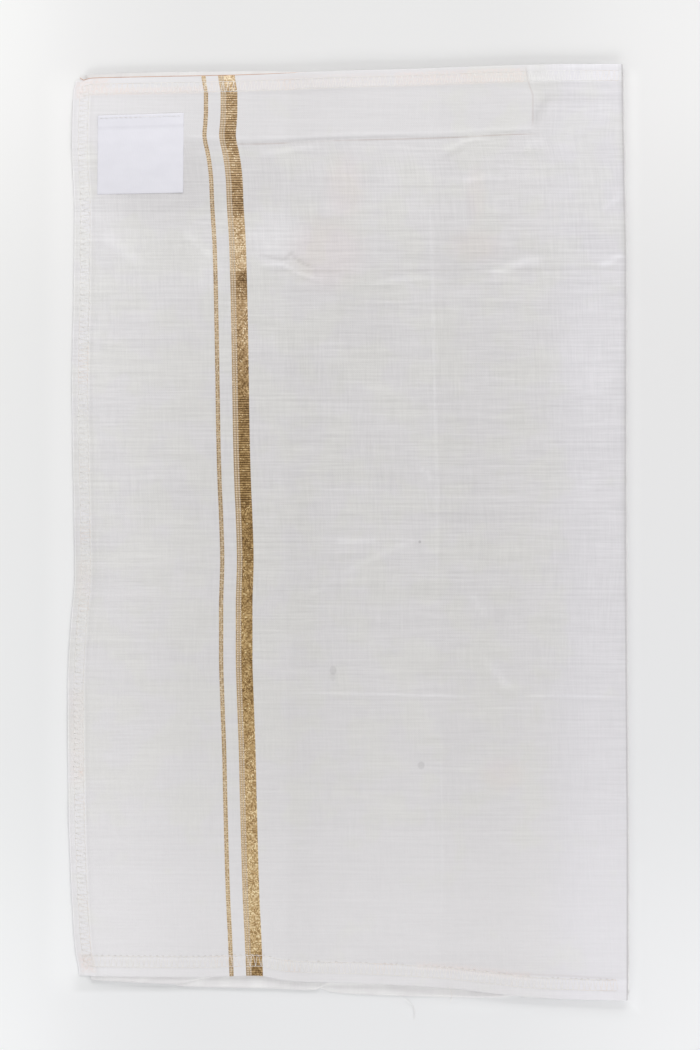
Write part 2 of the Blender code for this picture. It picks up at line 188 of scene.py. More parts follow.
# The visible layer's creases; a trough has a negative height. A crease's tone is painted light along
# it, a negative tone painted shade
CREASES = (
    # half width, height, tone, places
    # Lines left by pressing
    (0.9, -0.26, -0.4, (-41, 117.6), (-20, 117.4), (6, 117.5)),
    (0.9, -0.18, -0.24, (6, 117.5), (40, 117.8), (66, 118)),
    (0.9, -0.22, -0.3, (66, 118), (96, 118.2), (124, 118.4)),
    (1, 0.26, 0.34, (-34, -72.2), (15.7, -73.1), (68, -74.3)),
    (1, 0.24, 0.28, (73, -74.2), (95, -73.6), (124, -74)),
    (1.3, 0.16, 0.17, (36.7, 177), (38, 127), (39.2, 77), (40.4, 14), (40, -44)),
    (1, 0.12, 0.1, (41.4, -72), (42, -90), (42.8, -142), (42.4, -186)),
    (1, -0.05, -0.05, (38.9, 177), (40, 127), (41.2, 77), (42.2, 14), (42, -44)),
    (0.9, 0.1, 0.1, (75, 2), (75.4, -12), (75, -24)),
    (1, -0.1, -0.1, (-28, 159.4), (10, 159), (46, 159.8)),
    (1.2, 0.14, 0.16, (12, 157.6), (40, 157.8), (72, 158.6)),
    (0.9, 0.1, 0.14, (2, 64.9), (22, 64.8), (38, 64.9)),
    (0.9, 0.1, 0.14, (-30, 45.2), (6, 45), (38, 45.2)),
    (0.9, 0.1, 0.14, (-26, 14.9), (40, 14.8), (104, 15.1)),
    (0.9, -0.1, -0.14, (-26, 33.3), (30, 33.1), (123, 33.2)),
    (0.9, -0.1, -0.12, (44, 36.8), (80, 36.6), (123, 36.9)),
    (0.9, 0.08, 0.12, (42, 20.2), (80, 20), (124, 20.3)),
    # Wrinkles and soft folds
    (1.1, -0.4, -0.52, (-43, 126.4), (-38.2, 124.4), (-27.8, 122.6), (-25.6, 125.6), (-21, 121.6),
     (-11.6, 117.4)),
    (1.4, 0.34, 0.4, (-45, 119.6), (-36, 120.2), (-29, 120.4), (-22.5, 117), (-14, 113.8), (-8, 113)),
    (2, 0.55, 0.26, (40, 169.8), (46, 172.2), (50.9, 174.9), (57, 176.6), (66, 177)),
    (1.4, -0.2, -0.22, (42, 167.8), (48, 170.2), (54, 172.4)),
    (2.2, 0.4, 0.24, (-46, 170.6), (-36, 170.2), (-29.2, 170.9), (-22.5, 172.4), (-10, 173.4)),
    (2.2, 0.3, 0.2, (78, 172), (83, 174.6), (90, 176)),
    (2.2, 0.34, 0.22, (54.6, -25.6), (58.6, -32), (63.4, -39.6)),
    (2.6, 0.34, 0.22, (61, -55.6), (67, -63.4), (72, -69.4), (77, -72.4)),
    (1.8, 0.18, 0.3, (30.8, 30.7), (34, 27.6), (39.4, 23.6)),
    (2.2, 0.2, 0.2, (-6, -20.6), (8, -13.6), (20, -7.8), (33, -3.4)),
    (1.6, 0.14, 0.26, (-8, -4.2), (4, -4.2), (15, -4.6)),
    (1.6, 0.16, 0.16, (-19.4, -29.2), (-8, -24)),
    (3.2, 0.36, 0.32, (-75, 136.8), (-70, 132.4), (-64, 126.7), (-60, 122)),
    (0.8, -0.1, -0.14, (-72, 137), (-67, 131), (-63.5, 126)),
    (4.4, 0.46, 0.22, (-113, 135), (-105, 129.6), (-97, 123), (-90, 117)),
    (2.6, 0.34, 0.16, (-124, 83.4), (-117, 87), (-108, 92.4)),
    (2, 0.2, 0.1, (-122.5, 149), (-117, 145), (-113, 141)),
    (2.6, 0.42, 0.34, (112, 119.4), (118.6, 121.4), (124.8, 126)),
    (2.4, 0.34, 0.3, (114, 145.4), (119.6, 148.4), (124.4, 152.4)),
    (3.8, 0.4, 0.4, (62, 115.6), (70, 117.6), (80, 121.6), (90, 122.6)),
    (2.6, 0.26, 0.2, (8, 111), (18, 112.6), (32, 114.4), (44, 117)),
    (2.8, 0.24, 0.16, (50, 156.4), (62, 159.6), (74, 157.4)),
    (2, 0.16, 0.14, (64, 148.4), (70, 150.4), (77, 149)),
    (3.4, -0.45, -0.26, (84, 180), (86, 188), (90, 194.4), (95, 196.6)),
    (2, -0.2, -0.22, (88, 195), (96, 195.2), (106, 195.2), (124, 194.8)),
    (2.8, 0.2, 0.06, (-112, 149), (-92, 146.4), (-70, 149.8)),
    (4.5, 0.26, 0, (-104, 96), (-98, 40), (-103, -20)),
    (4, 0.2, 0, (-96, -70), (-101, -118), (-97, -160)),
    (5, 0.24, 0, (-10, 78), (6, 20), (-2, -40)),
    (5, 0.22, 0, (86, 98), (92, 40), (88, -30)),
    (4.2, 0.18, 0, (2, -112), (20, -140), (12, -178)),
    (3, 0.14, 0, (58, -168), (84, -172), (112, -168)),
    (4, -0.2, -0.06, (-8, -188), (30, -190.6), (78, -194), (118, -196)),
)

BILLOWS = (
    # x, y, reach across, reach along, height
    (-70, 60, 42, 70, 0.45),
    (60, 20, 55, 62, 0.5),
    (-60, -120, 46, 55, 0.4),
    (75, -135, 42, 48, 0.45),
    (100, 150, 20, 26, 0.35),
)

# The woven gold: the wide stripe's middle, up the packet
stripe_path = curve(
    # y, x
    (-204, -41.6), (-185, -42.2), (-164, -43.2), (-121, -44.4), (-99, -44.9), (-77, -45.7),
    (-56, -46.3), (-34, -46.3), (-12.6, -45.8), (9, -46.4), (20, -46.9), (41, -47.5), (85, -48.2),
    (128, -49.2), (149, -50.4), (157.5, -50.7), (165, -51.4), (172, -52.6), (175.5, -53.4),
    (179, -53.8), (184, -53.4), (190, -53.1), (197, -53.1), (204, -54.1), (210, -54.8),
)
THIN_STRIPE = -10.4  # from the wide stripe's middle
WIDE_FINE, WIDE_BODY = (-3.8, -1.35), (-1.4, 3.75)
WHITE_COLUMNS = 1.2  # from one column of white thread to the next
THREAD_PAIR = 0.84  # from one thread of the plain weave to the next on its side
GOLD_PICK = 1.05
GOLD_COLOURS = (
    # light, colour
    (-0.5, (74, 51, 27)),
    (0.05, (125, 96, 56)),
    (0.45, (168, 136, 88)),
    (0.85, (208, 176, 124)),
    (1.4, (255, 237, 190)),
)
PALE_GOLD = (234, 220, 198)

# How brightly the gold shines along the packet, as a painted sheen, and how dark the lines between its
# picks are
gold_painted_sheen = curve(
    # y, share
    (-205, 0.34), (-196, 0.5), (-186, 0.82), (-168, 0.88), (-150, 0.8), (-110, 0.68), (-60, 0.46),
    (-33.5, 0.54), (-32.5, 0.4), (-14, 0.42), (0, 0.38), (11, 0.36), (12.6, 0.46), (30, 0.5),
    (45, 0.52), (61, 0.48), (63, 0.4), (72, 0.38), (81, 0.42), (86, 0.64), (104, 0.6), (115.6, 0.4),
    (116.6, 0.42), (117.4, 0.82), (128, 0.97), (136, 0.93), (144, 0.7), (150, 0.6), (168, 0.94),
    (176, 0.74), (184, 0.8), (198, 0.86), (206, 0.98),
)
gold_lines = curve(
    # y, share
    (-205, 0.45), (-190, 0.3), (-180, 0.08), (-20, 0.1), (-12, 0.35), (0, 0.2), (11, 0.16), (13, 0.8),
    (60.5, 0.76), (62.5, 0.1), (96, 0.12), (104, 0.28), (116, 0.4), (119, 0.22), (141, 0.34),
    (144.5, 0.9), (160, 0.9), (172, 0.86), (184, 0.95), (197, 0.85), (202, 0.15),
)

# The cloth's tone, in display levels, partly as more or fewer folds lie beneath and partly painted
# light, brighter towards the packet's ends and sides; and how levels become the cover, which is 0 for
# the greyest and 1 for the whitest cloth
TONE_LIMIT = 26
COVER_START, COVER_LEVEL, COVER_SCALE = 0.36, 0.036, 0.715
tone_across = curve(
    # x, levels
    (-122, 9.5), (-112, 9), (-102, 7.6), (-91, 5.6), (-79, 3.2), (-68, 1.5), (-40, 0.6), (-28.5, 0.3),
    (-24.5, -2), (-19, -2), (-8, -0.5), (10, 0.3), (38, 0.6), (44, -1), (66, -0.8), (84, 1.2),
    (94, 2.6), (103, 5), (112, 7), (121, 7.4),
)
tone_along = curve(
    # y, levels
    (-192, 9.5), (-173, 8.8), (-147, 6.2), (-118, 3), (-89, 1.4), (-40, 0.2), (25, -0.2), (70, 0.6),
    (98, 1.4), (138, 3.6), (164, 5), (190, 5.6),
)
# The hems' doubled cloth is paler; down the left hem this is partly painted light, where its droop
# turns from the lamps
TONE_HEM = {"left": 8.2, "bottom": 3.4, "top": 3.6}
TONE_HEM_LOW, TONE_HEM_HIGH = 5, 2  # more of it down the left hem's two ends
left_hem_painted_light = curve(
    # in from the left hem's fold, levels of painted light and shade: a highlight at the fold's edge,
    # shade just inside it, a little light over the overlock, shade at the hem's inner edge
    (0, 8), (0.35, 7), (0.7, -8), (1.9, -4.5), (3.1, 1.5), (4.3, 1.5), (6.4, 1.5), (7.4, -2), (8, -4.5),
    (8.45, -4.5), (10.4, 0),
)
# Painted shade beside the fold's upper half
FOLD_PAINTED_SHADE = -8  # beside the fold's upper half
TONE_BAND, TONE_ROLL, TONE_PALE_END = 2.6, 4, 6.5
TONE_RAW = (
    # levels, in from the bottom edge, half width: the hem's raw edge, and just inside it
    (4, 8.7, 1.2),
    (-4, 11.2, 1.6),
)
# Painted shade where the cloth turns down at the right-hand fold
TURN_PAINTED_SHADE = -36  # where the cloth turns down at the right-hand fold

# Painted light and shade: paler over swellings, darker round the label and near the fold, paler or
# darker in a few more places
PAINTED_LIGHT_PATCHES = (
    # x, y, half width, half length, levels, cool share
    (-32, 132.5, 15, 11, 7, 0.9),
    (-84, -150, 45, 60, 1.2, 0),
    (-84, 158, 26, 19, -9, 0.9),
    (-62, 118, 8, 9, 4.5, 0.3),
    (116, 150, 16, 34, -3, 0),
    (106, 73, 14, 14, 3, 0),
    (44, 125, 44, 12, -3, 0),
    (8, 98, 16, 18, -3, 0),
    (-44, 158, 16, 16, -4.5, 0.6),
    (-118, -12, 10, 22, -3.5, 0),
)

# How strongly the slubs show along the packet
slubs = curve(
    # y, share
    (-205, 0.32), (-170, 0.3), (-140, 0.46), (-90, 0.62), (-40, 0.86), (30, 1), (120, 1.02),
    (170, 0.92), (205, 0.8),
)

# Where peach and pink thread shows on the hems
BLUSH = (
    # side, along from, to, inside from, to, share
    ("top", -124, -106, 0.5, 8, 0.34),
    ("top", -116, -62, 5.4, 8.2, 0.3),
    ("top", -63, 20, 1.6, 8, 0.13),
    ("top", 20, 81, 1.6, 8, 0.26),
    ("left", -31, -12, 1, 7.6, 0.12),
    ("left", -116, -70, 1, 7.6, 0.14),
    ("left", -111.5, -106, 4.4, 7.6, 0.6),
    ("left", -200, -189, 1.5, 8, 0.32),
    ("bottom", 30, 84, 8.4, 10.4, 0.24),
)

# The bottom hem's raw edge, which shows as a thin line
raw_line = curve(
    # x, y
    (-19, -193.6), (26, -194.7), (44, -196.2), (58, -197.6), (75, -198.9), (98, -199.7), (116, -200.7),
)

# Small grey marks on the cloth
MARKS = (
    # x, y, half width, half length, depth
    (-6.3, -62.3, 1.45, 1.9, 0.16),
    (-6.6, -65.2, 1.3, 1.8, 0.08),
    (33.4, -105.1, 1.45, 1.6, 0.18),
    (32.8, -4.4, 0.6, 0.6, 0.34),
)

# Faint warm smudges
SMUDGES = (
    # x, y, half width, half length, share
    (-1, 155, 8, 14, 0.85),
    (-9, 126, 15, 15, 0.95),
    (58, 152, 4, 12, 0.6),
    (58, 129, 11, 7, 0.7),
    (70, -109, 9, 7, 0.7),
)

# The label
LABEL_TOP_LEFT, LABEL_TOP_RIGHT = (-112.2, 187.5), (-73.5, 188.7)
LABEL_BOTTOM_LEFT, LABEL_BOTTOM_RIGHT = (-112.5, 152), (-73.8, 152.8)
LABEL_FOLD = 5.4
LABEL_THICK = 0.1
LABEL_GAP = 0.04
LABEL_CURL = 0.16  # how far its lower right corner lifts
LABEL_ROUND, LABEL_ROUNDING = 0.5, 0.09  # its edges roll over this width, by this much
LABEL_STITCH = (
    # across, lift: one of the stitches along its top
    (-0.8, -0.05), (-0.3, 0.09), (0.3, 0.09), (0.8, -0.05),
)

# Overlock: stitch length, and where its band lies in from each hem's outer fold
STITCH = 2.5
OVERLOCK = (
    # side, outer line, raw edge, along from, to
    ("left", 3, 7.4, -196, 200),
    ("bottom", 4.4, 9.4, -119, 122),
    ("top", 3, 7.6, -119, 123),
)
LOOP = (
    # along, out: one of the looper's loops, along the raw edge and back
    (0, 0), (0.07, 0.14), (0.15, 0.56), (0.26, 0.93), (0.42, 1), (0.6, 0.92), (0.78, 0.5),
    (0.92, 0.1),
)
THREAD_TAIL = (
    # along the top edge, in from it, lift: the brown thread's loose end
    (-120.5, -1.3, -0.1), (-120.2, -0.95, 0.05), (-119.4, -0.25, 0.1), (-118.8, 0.15, 0.06),
)
THREAD, THREAD_SINK = 0.11, 0.01  # radius, and how deep its middle lies
PALE_FROM = 81  # from here to the right the top hem's thread is paler

# Blind stitches on the bottom hem; from here to the right a share of them doesn't show
BLIND_PITCH, BLIND_LENGTH, BLIND_IN, BLIND_SINK = 2.7, 1.25, 9.75, (-0.1, 0.03, 0.03, -0.1)
BLIND_HIDDEN_FROM, BLIND_HIDDEN = -46, 0.45

# The photograph's frame
IMAGE = (700, 1050)
MM_PER_PIXEL = 0.45
FRAME_MIDDLE = (347, 532)  # the pixel over the origin
LENS, SENSOR = 85, 36
CAMERA_OVER = 4  # the camera's extra height, in millimetres


# ---- shape functions ----


def left_edge(y):
    return LEFT - left_out(y)


def right_edge(y):
    return RIGHT + right_out(y)


def bottom_edge(x):
    return BOTTOM - bottom_out(x)


def top_edge(x):
    return TOP + top_out(x)


def stack_top(x):
    return part_way(STACK_LEFT, STACK_RIGHT, (np.asarray(x) - LEFT) / (RIGHT - LEFT))


def inside_edge(side, x, y):
    """How far a place lies in from one side's edge."""
    if side == "left":
        return x - left_edge(y)
    return y - bottom_edge(x) if side == "bottom" else top_edge(x) - y


def line_share(x, y, places, half_width):
    """1 on a line of places, falling to 0 at its half width and towards its ends."""
    places = np.array(places, float)
    runs = np.hypot(*np.diff(places, axis=0).T)
    whole, before = runs.sum(), 0.0
    best, where = np.full(np.shape(x), np.inf), np.zeros(np.shape(x))
    for (x0, y0), (x1, y1), run in zip(places, places[1:], runs):
        t = np.clip(((x - x0) * (x1 - x0) + (y - y0) * (y1 - y0)) / run**2, 0, 1)
        away = np.hypot(x - x0 - t * (x1 - x0), y - y0 - t * (y1 - y0))
        nearer = away < best
        best = np.where(nearer, away, best)
        where = np.where(nearer, (before + t * run) / whole, where)
        before += run
    return ease(1 - best / half_width) * ease(4 * np.minimum(where, 1 - where))


def oval_share(x, y, at_x, at_y, wide, long):
    """1 in the middle of a soft oval patch, 0 outside it."""
    return ease(1.5 - np.hypot((x - at_x) / wide, (y - at_y) / long))


def over_band(x, y):
    """How much the band lifts the visible layer here."""
    past_end = np.maximum(x - band_end(y) + BAND_INSET, 0) / BAND_END_SLOPE
    past_lower = np.maximum(band_lower(x) + BAND_INSET - y, 0) / band_slope(x)
    share = 1 - ease(np.hypot(past_end, past_lower))
    return band_rise(x) * share + BAND_ROLL * band_roll(x, y)


def band_roll(x, y):
    """1 along the middle of the band's overlocked lower edge."""
    away = np.abs(y - band_lower(x) - BAND_ROLL_IN)
    starts = ease((x - BAND_ROLL_FROM) / BAND_ROLL_EASE)
    return ease(1 - away / BAND_ROLL_HALF) * (x < band_end(y) - 1) * starts


def in_band(x, y):
    """1 where the band lies under the cloth."""
    return (1 - ease((x - band_end(y)) / 1.5)) * ease((y - band_lower(x) - 0.4) / 0.8)


def under_panel(x, y):
    """Height of the visible layer's underside, carried on level past its ends."""
    rim_x, rim_y = 0.4, 0.8
    inside_x = np.clip(x, left_edge(y) + rim_x, right_edge(y) - rim_x)
    inside_y = np.clip(y, bottom_edge(x) + rim_y, top_edge(x) - rim_y)
    return panel_top(inside_x, inside_y) - CLOTH


def on_hem(side, x, y):
    """1 on one side's hem, 0 inside it."""
    return 1 - ease((inside_edge(side, x, y) - HEM_WIDTH[side]) / HEM_STEP)


def swells(x, y):
    """Slight, uneven rise and fall all over the cloth."""
    random = np.random.default_rng(11)
    total = np.zeros(np.shape(x))
    for _ in range(SWELLS):
        angle = random.uniform(0, math.tau)
        length = random.uniform(SHORTEST_SWELL, LONGEST_SWELL)
        phase = random.uniform(0, math.tau)
        along = x * math.cos(angle) + y * math.sin(angle)
        total += length / LONGEST_SWELL * np.sin(math.tau * along / length + phase)
    return SWELL_HEIGHT * total


def panel_top(x, y):
    """Height of the visible layer's upper side; it never sinks into what it lies on."""
    z = stack_top(x) + PANEL_REST + over_band(x, y) + swells(x, y)
    for half_width, height, _, *places in CREASES:
        z = z + height * line_share(x, y, places, half_width)
    for at_x, at_y, reach_x, reach_y, rise in BILLOWS:
        z = z + rise * ease(1 - np.hypot((x - at_x) / reach_x, (y - at_y) / reach_y))
    for side, drop, reach in EDGE_DROOP:
        inside = inside_edge(side, x, y)
        z = z - drop * (1 - ease(inside / reach))
        z = z - EDGE_DROP[side] * (1 - ease(inside / EDGE_ROUND)) ** 2
    rises = [rise * on_hem(side, x, y) for side, rise in HEM_RISE.items()]
    lowest, softness = CLOTH + 0.03, 0.2
    above = z + np.max(rises, axis=0) - lowest
    return lowest + (above + np.hypot(above, softness)) / 2


# ---- mesh builders ----


def key_line(line, by):
    """A line over the cloth: an edge moved by a distance, or a straight one at a number."""
    if callable(line):
        return lambda at: line(at) + by
    return lambda at: np.full(np.shape(at), float(line + by))


def grid_lines(keys):
    """(key, share) of each line through and between key lines, spaced as the keys say."""
    lines = []
    for k, ((first, spacing), (second, _)) in enumerate(zip(keys, keys[1:])):
        count = max(1, round(abs(float(second(0.0)) - float(first(0.0))) / spacing))
        lines += [(k, n / count) for n in range(count)]
    return [*lines, (len(keys) - 2, 1)]


def lattice(column_keys, row_keys):
    """x and y where the lines of two families cross.

    A key holds a line, how far it is moved, and the spacing up to the next key.
    """
    column_keys = [(key_line(line, by), spacing) for line, by, spacing in column_keys]
    row_keys = [(key_line(line, by), spacing) for line, by, spacing in row_keys]
    columns, rows = grid_lines(column_keys), grid_lines(row_keys)
    x = np.zeros((len(rows), len(columns)))
    y = np.zeros_like(x)
    for _ in range(4):
        for i, (k, share) in enumerate(columns):
            x[:, i] = part_way(column_keys[k][0](y[:, i]), column_keys[k + 1][0](y[:, i]), share)
        for j, (k, share) in enumerate(rows):
            y[j] = part_way(row_keys[k][0](x[j]), row_keys[k + 1][0](x[j]), share)
    return x, y


def add_mesh(name, places, faces, material):
    """An object from points in millimetres."""
    mesh = bpy.data.meshes.new(name)
    mesh.from_pydata((np.asarray(places) * MM).tolist(), [], faces)
    mesh.update()
    mesh.shade_smooth()
    mesh.materials.append(material)
    made = bpy.data.objects.new(name, mesh)
    bpy.context.scene.collection.objects.link(made)
    return made


def add_sheet(name, x, y, z, material, thickness, facts=None):
    """A thin shell of cloth from grids of x, y, z, its upper side given.

    Facts are grids of numbers that its material reads, by name.
    """
    rows, columns = x.shape
    at = np.arange(rows * columns).reshape(rows, columns)
    corners = (at[:-1, :-1], at[:-1, 1:], at[1:, 1:], at[1:, :-1])
    faces = np.stack([corner.ravel() for corner in corners], axis=1).tolist()
    made = add_mesh(name, np.stack([x, y, z], axis=-1).reshape(-1, 3), faces, material)
    for fact, values in (facts or {}).items():
        layer = made.data.attributes.new(fact, "FLOAT", "POINT")
        layer.data.foreach_set("value", np.ascontiguousarray(values, np.float32).ravel())
    shell = made.modifiers.new("thickness", "SOLIDIFY")
    shell.thickness = thickness * MM
    shell.offset = -1
    return made


def tube(path, radius, sides=5):
    """Points and faces of a round thread along a path."""
    ahead = np.gradient(path, axis=0)
    ahead /= np.linalg.norm(ahead, axis=1)[:, None] + 1e-9
    across = np.cross(ahead, (0, 0, 1))
    across /= np.linalg.norm(across, axis=1)[:, None] + 1e-9
    lift = np.cross(across, ahead)
    turns = (np.arange(sides) * math.tau / sides)[None, :, None]
    rings = path[:, None] + radius * (np.cos(turns) * across[:, None] + np.sin(turns) * lift[:, None])
    last = (len(path) - 1) * sides
    faces = [tuple(range(sides))[::-1], tuple(range(last, last + sides))]
    for k in range(0, last, sides):
        for n, m in zip(range(sides), [*range(1, sides), 0]):
            faces.append((k + n, k + m, k + m + sides, k + n + sides))
    return rings.reshape(-1, 3), faces


def add_threads(name, paths, radius, material):
    """One piece of many threads, sewn to the visible layer."""
    places, faces, count = [], [], 0
    for path in paths:
        points, sides = tube(path, radius)
        faces += [tuple(corner + count for corner in face) for face in sides]
        places.append(points)
        count += len(points)
    piece = add_mesh(name, np.concatenate(places), faces, material)
    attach(piece, "root")


# ---- materials ----


class Number:
    """A number in a material's node tree; sums and products with it become nodes."""

    def __init__(self, shader, socket):
        self.shader, self.socket = shader, socket

    def math(self, operation, other=None):
        return self.shader.math(operation, self, other)

    def __add__(self, other):
        return self.math("ADD", other)

    def __sub__(self, other):
        return self.math("SUBTRACT", other)

    def __rsub__(self, other):
        return self.shader.math("SUBTRACT", other, self)

    def __mul__(self, other):
        return self.math("MULTIPLY", other)

    def __truediv__(self, other):
        return self.math("DIVIDE", other)

    def ramp(self, low, high, to_low=0, to_high=1, kind="SMOOTHSTEP"):
        """From one value to another as the number runs from low to high, level outside."""
        node = self.shader.add("MapRange", (self, low, high, to_low, to_high), interpolation_type=kind)
        return Number(self.shader, node.outputs[0])

    def band(self, low, high, soft):
        """1 between two values, 0 outside, soft at both."""
        return self.ramp(low - soft, low + soft) * self.ramp(high - soft, high + soft, 1, 0)

    def between(self, a, b):
        """From number a to number b, as this one runs from 0 to 1."""
        return self * (b - a) + a


class Shader:
    """A material's node tree, with short calls for the nodes used here.

    Colours are display levels, 0 to 255; what a tint multiplies by is linear.
    """

    def __init__(self, name):
        self.material = bpy.data.materials.new(name)
        self.material.use_nodes = True
        self.tree = self.material.node_tree
        self.surface = self.tree.nodes["Principled BSDF"]

    def put(self, socket, value):
        value = value.socket if isinstance(value, Number) else value
        if isinstance(value, bpy.types.NodeSocket):
            self.tree.links.new(value, socket)
        elif value is not None:
            socket.default_value = value

    def add(self, kind, inputs=(), **settings):
        """A new node; inputs are given in the node's own order, None where it keeps its own."""
        node = self.tree.nodes.new("ShaderNode" + kind)
        for name, setting in settings.items():
            setattr(node, name, setting)
        for socket, value in zip(node.inputs, inputs):
            self.put(socket, value)
        return node

    def math(self, operation, *inputs):
        return Number(self, self.add("Math", inputs, operation=operation).outputs[0])

    def fact(self, name):
        """What add_sheet stored at each point under this name."""
        return Number(self, self.add("Attribute", attribute_name=name).outputs["Fac"])

    def place(self):
        """x, y, z in millimetres."""
        split = self.add("SeparateXYZ", [self.add("TexCoord").outputs["Object"]])
        return [Number(self, socket) * 1000 for socket in split.outputs]

    def noise(self, x, y, seed=0, detail=2, roughness=0.5):
        at = self.add("CombineXYZ", (x, y, seed)).outputs[0]
        return Number(self, self.add("TexNoise", (at, None, 1, detail, roughness)).outputs["Fac"])

    def white(self, x, y):
        """A chance number for each whole x and y."""
        at = self.add("CombineXYZ", (x, y, 0.5)).outputs[0]
        return Number(self, self.add("TexWhiteNoise", [at]).outputs["Value"])

    def colours(self, value, rows):
        """A colour from a table of values and colours."""
        low, high = rows[0][0], rows[-1][0]
        node = self.add("ValToRGB", [value.ramp(low, high, kind="LINEAR")])
        points = node.color_ramp.elements
        while len(points) < len(rows):
            points.new(0.5)
        for point, (at, levels) in zip(points, rows):
            point.position = (at - low) / (high - low)
            point.color = (*linear(levels), 1)
        return node.outputs["Color"]

    def blend(self, kind, share, colours):
        node = self.add("Mix", [share], data_type="RGBA", blend_type=kind)
        for socket, colour in zip(node.inputs[6:], colours):
            self.put(socket, (*colour, 1) if isinstance(colour, tuple) else colour)
        return node.outputs[2]

    def mix(self, share, *colours):
        """From the first of two colours to the second."""
        return self.blend("MIX", share, [linear(c) if isinstance(c, tuple) else c for c in colours])

    def tint(self, colour, by, share=1):
        """A colour multiplied by a number or another colour, as far as a share says."""
        return self.blend("MULTIPLY", share, (colour, by))

    def bump(self, height, distance, strength):
        node = self.add("Bump")
        for name, value in (("Strength", strength), ("Distance", distance * MM), ("Height", height)):
            self.put(node.inputs[name], value)
        self.put(self.surface.inputs["Normal"], node.outputs[0])

    def finish(self, colour, roughness, **constants):
        self.put(self.surface.inputs["Base Color"], colour)
        self.put(self.surface.inputs["Roughness"], roughness)
        for name, value in constants.items():
            self.surface.inputs[name.replace("_", " ")].default_value = value
        return self.material


def linear(levels):
    """A linear colour from display levels, 0 to 255."""
    shares = [level / 255 for level in levels]
    return tuple(s / 12.92 if s <= 0.04045 else ((s + 0.055) / 1.055) ** 2.4 for s in shares)


def weave(shader, s, t, strength):
    """Plain weave and its slubs: (tone, height), from places across and along the cloth."""

    def streaks(along_s, along_t, seed, detail=3):
        return shader.noise(s * along_s, t * along_t, seed, detail, 0.6) - 0.5

    patch = streaks(0.03, 0.022, 3)
    weft = streaks(0.055, 1, 7) * patch.ramp(-0.2, 0.2, 0.55, 1)
    warp = streaks(1.05, 0.065, 19) * patch.ramp(-0.2, 0.2, 1, 0.5)
    long_weft, soft_weft = streaks(0.007, 0.8, 31, 2), streaks(0.016, 0.22, 37, 2)
    light = weft * 0.32 + warp * 0.24 + long_weft * 0.2 + soft_weft * 0.07 + patch * 0.05
    over, under = ((at * (math.tau / THREAD_PAIR)).math("SINE") for at in (s, t))
    return light * strength + 1, over * under * 0.5 + 0.5 + weft * 2.6 + warp * 1.6


def woven_gold(shader, s, t):
    """The gold stripes: (share, metal, colour), from places across and along the cloth."""
    shine, lines = shader.fact("shine"), shader.fact("lines")
    pick = t / GOLD_PICK + shader.noise(s * 0.3, t * 0.4, 3, 1) * 0.25
    row = pick.math("FLOOR")
    off_middle = (pick.math("FRACT") - 0.5).math("ABSOLUTE")
    gap = off_middle.ramp(0.2, 0.4)
    across, down = (s / 0.48).math("FLOOR"), (pick * 2.1).math("FLOOR")
    grain, painted_glint = shader.white(across, down), shader.white(down, across)
    dash = shader.white((s / 1.7 + shader.white(row, 7) * 0.6).math("FLOOR"), row)
    cloud = shader.noise(s * 0.22, t * 0.13, 13, 2, 0.6)
    # The painted sheen along the stripe and painted glints lighten the gold's colour
    light = shine + (grain - 0.5) * lines.between(0.84, 0.3)
    light = light + (dash - 0.5) * 0.32 + (cloud - 0.5) * 0.7 + painted_glint.ramp(0.9, 0.94, 0, 0.45)
    gold = shader.colours(light - gap * lines, GOLD_COLOURS)
    # Towards its two ends the gold is cooler
    gold = shader.tint(gold, (1.05, 1.07, 1.3), t.ramp(30, 100) + t.ramp(-110, -70, 0.3, 0))
    body, fine = s.band(*WIDE_BODY, 0.12), s.band(*WIDE_FINE, 0.12)
    thin = s.band(THIN_STRIPE - 0.95, THIN_STRIPE + 0.95, 0.12)
    # Beside the body and in the thin stripe, gold picks cross columns of white thread
    column = ((s - WIDE_FINE[0]) * (math.tau / WHITE_COLUMNS)).math("SINE").ramp(-0.3, 0.3)
    middle = (s - THIN_STRIPE).math("ABSOLUTE").ramp(0.15, 0.42, 0.42, 0)
    open_gold = shader.mix(0.36, gold, (206, 183, 152))
    white = shader.mix(off_middle.ramp(0.14, 0.36), PALE_GOLD, (176, 154, 128))
    white = shader.mix(grain * 0.5, white, (178, 158, 136))
    fine_colour = shader.mix(column.between(0.04, 0.9), white, open_gold)
    thin_colour = shader.mix(gap * 0.52, open_gold, (132, 104, 72))
    thin_colour = shader.mix(grain.ramp(0.7, 0.78, 0, 0.45), thin_colour, PALE_GOLD)
    thin_colour = shader.mix(middle, thin_colour, (218, 202, 174))
    colour = shader.mix(body, shader.mix(thin, fine_colour, thin_colour), gold)
    share = body.math("MAXIMUM", fine.math("MAXIMUM", thin))
    return share, body.math("MAXIMUM", share * 0.6), colour


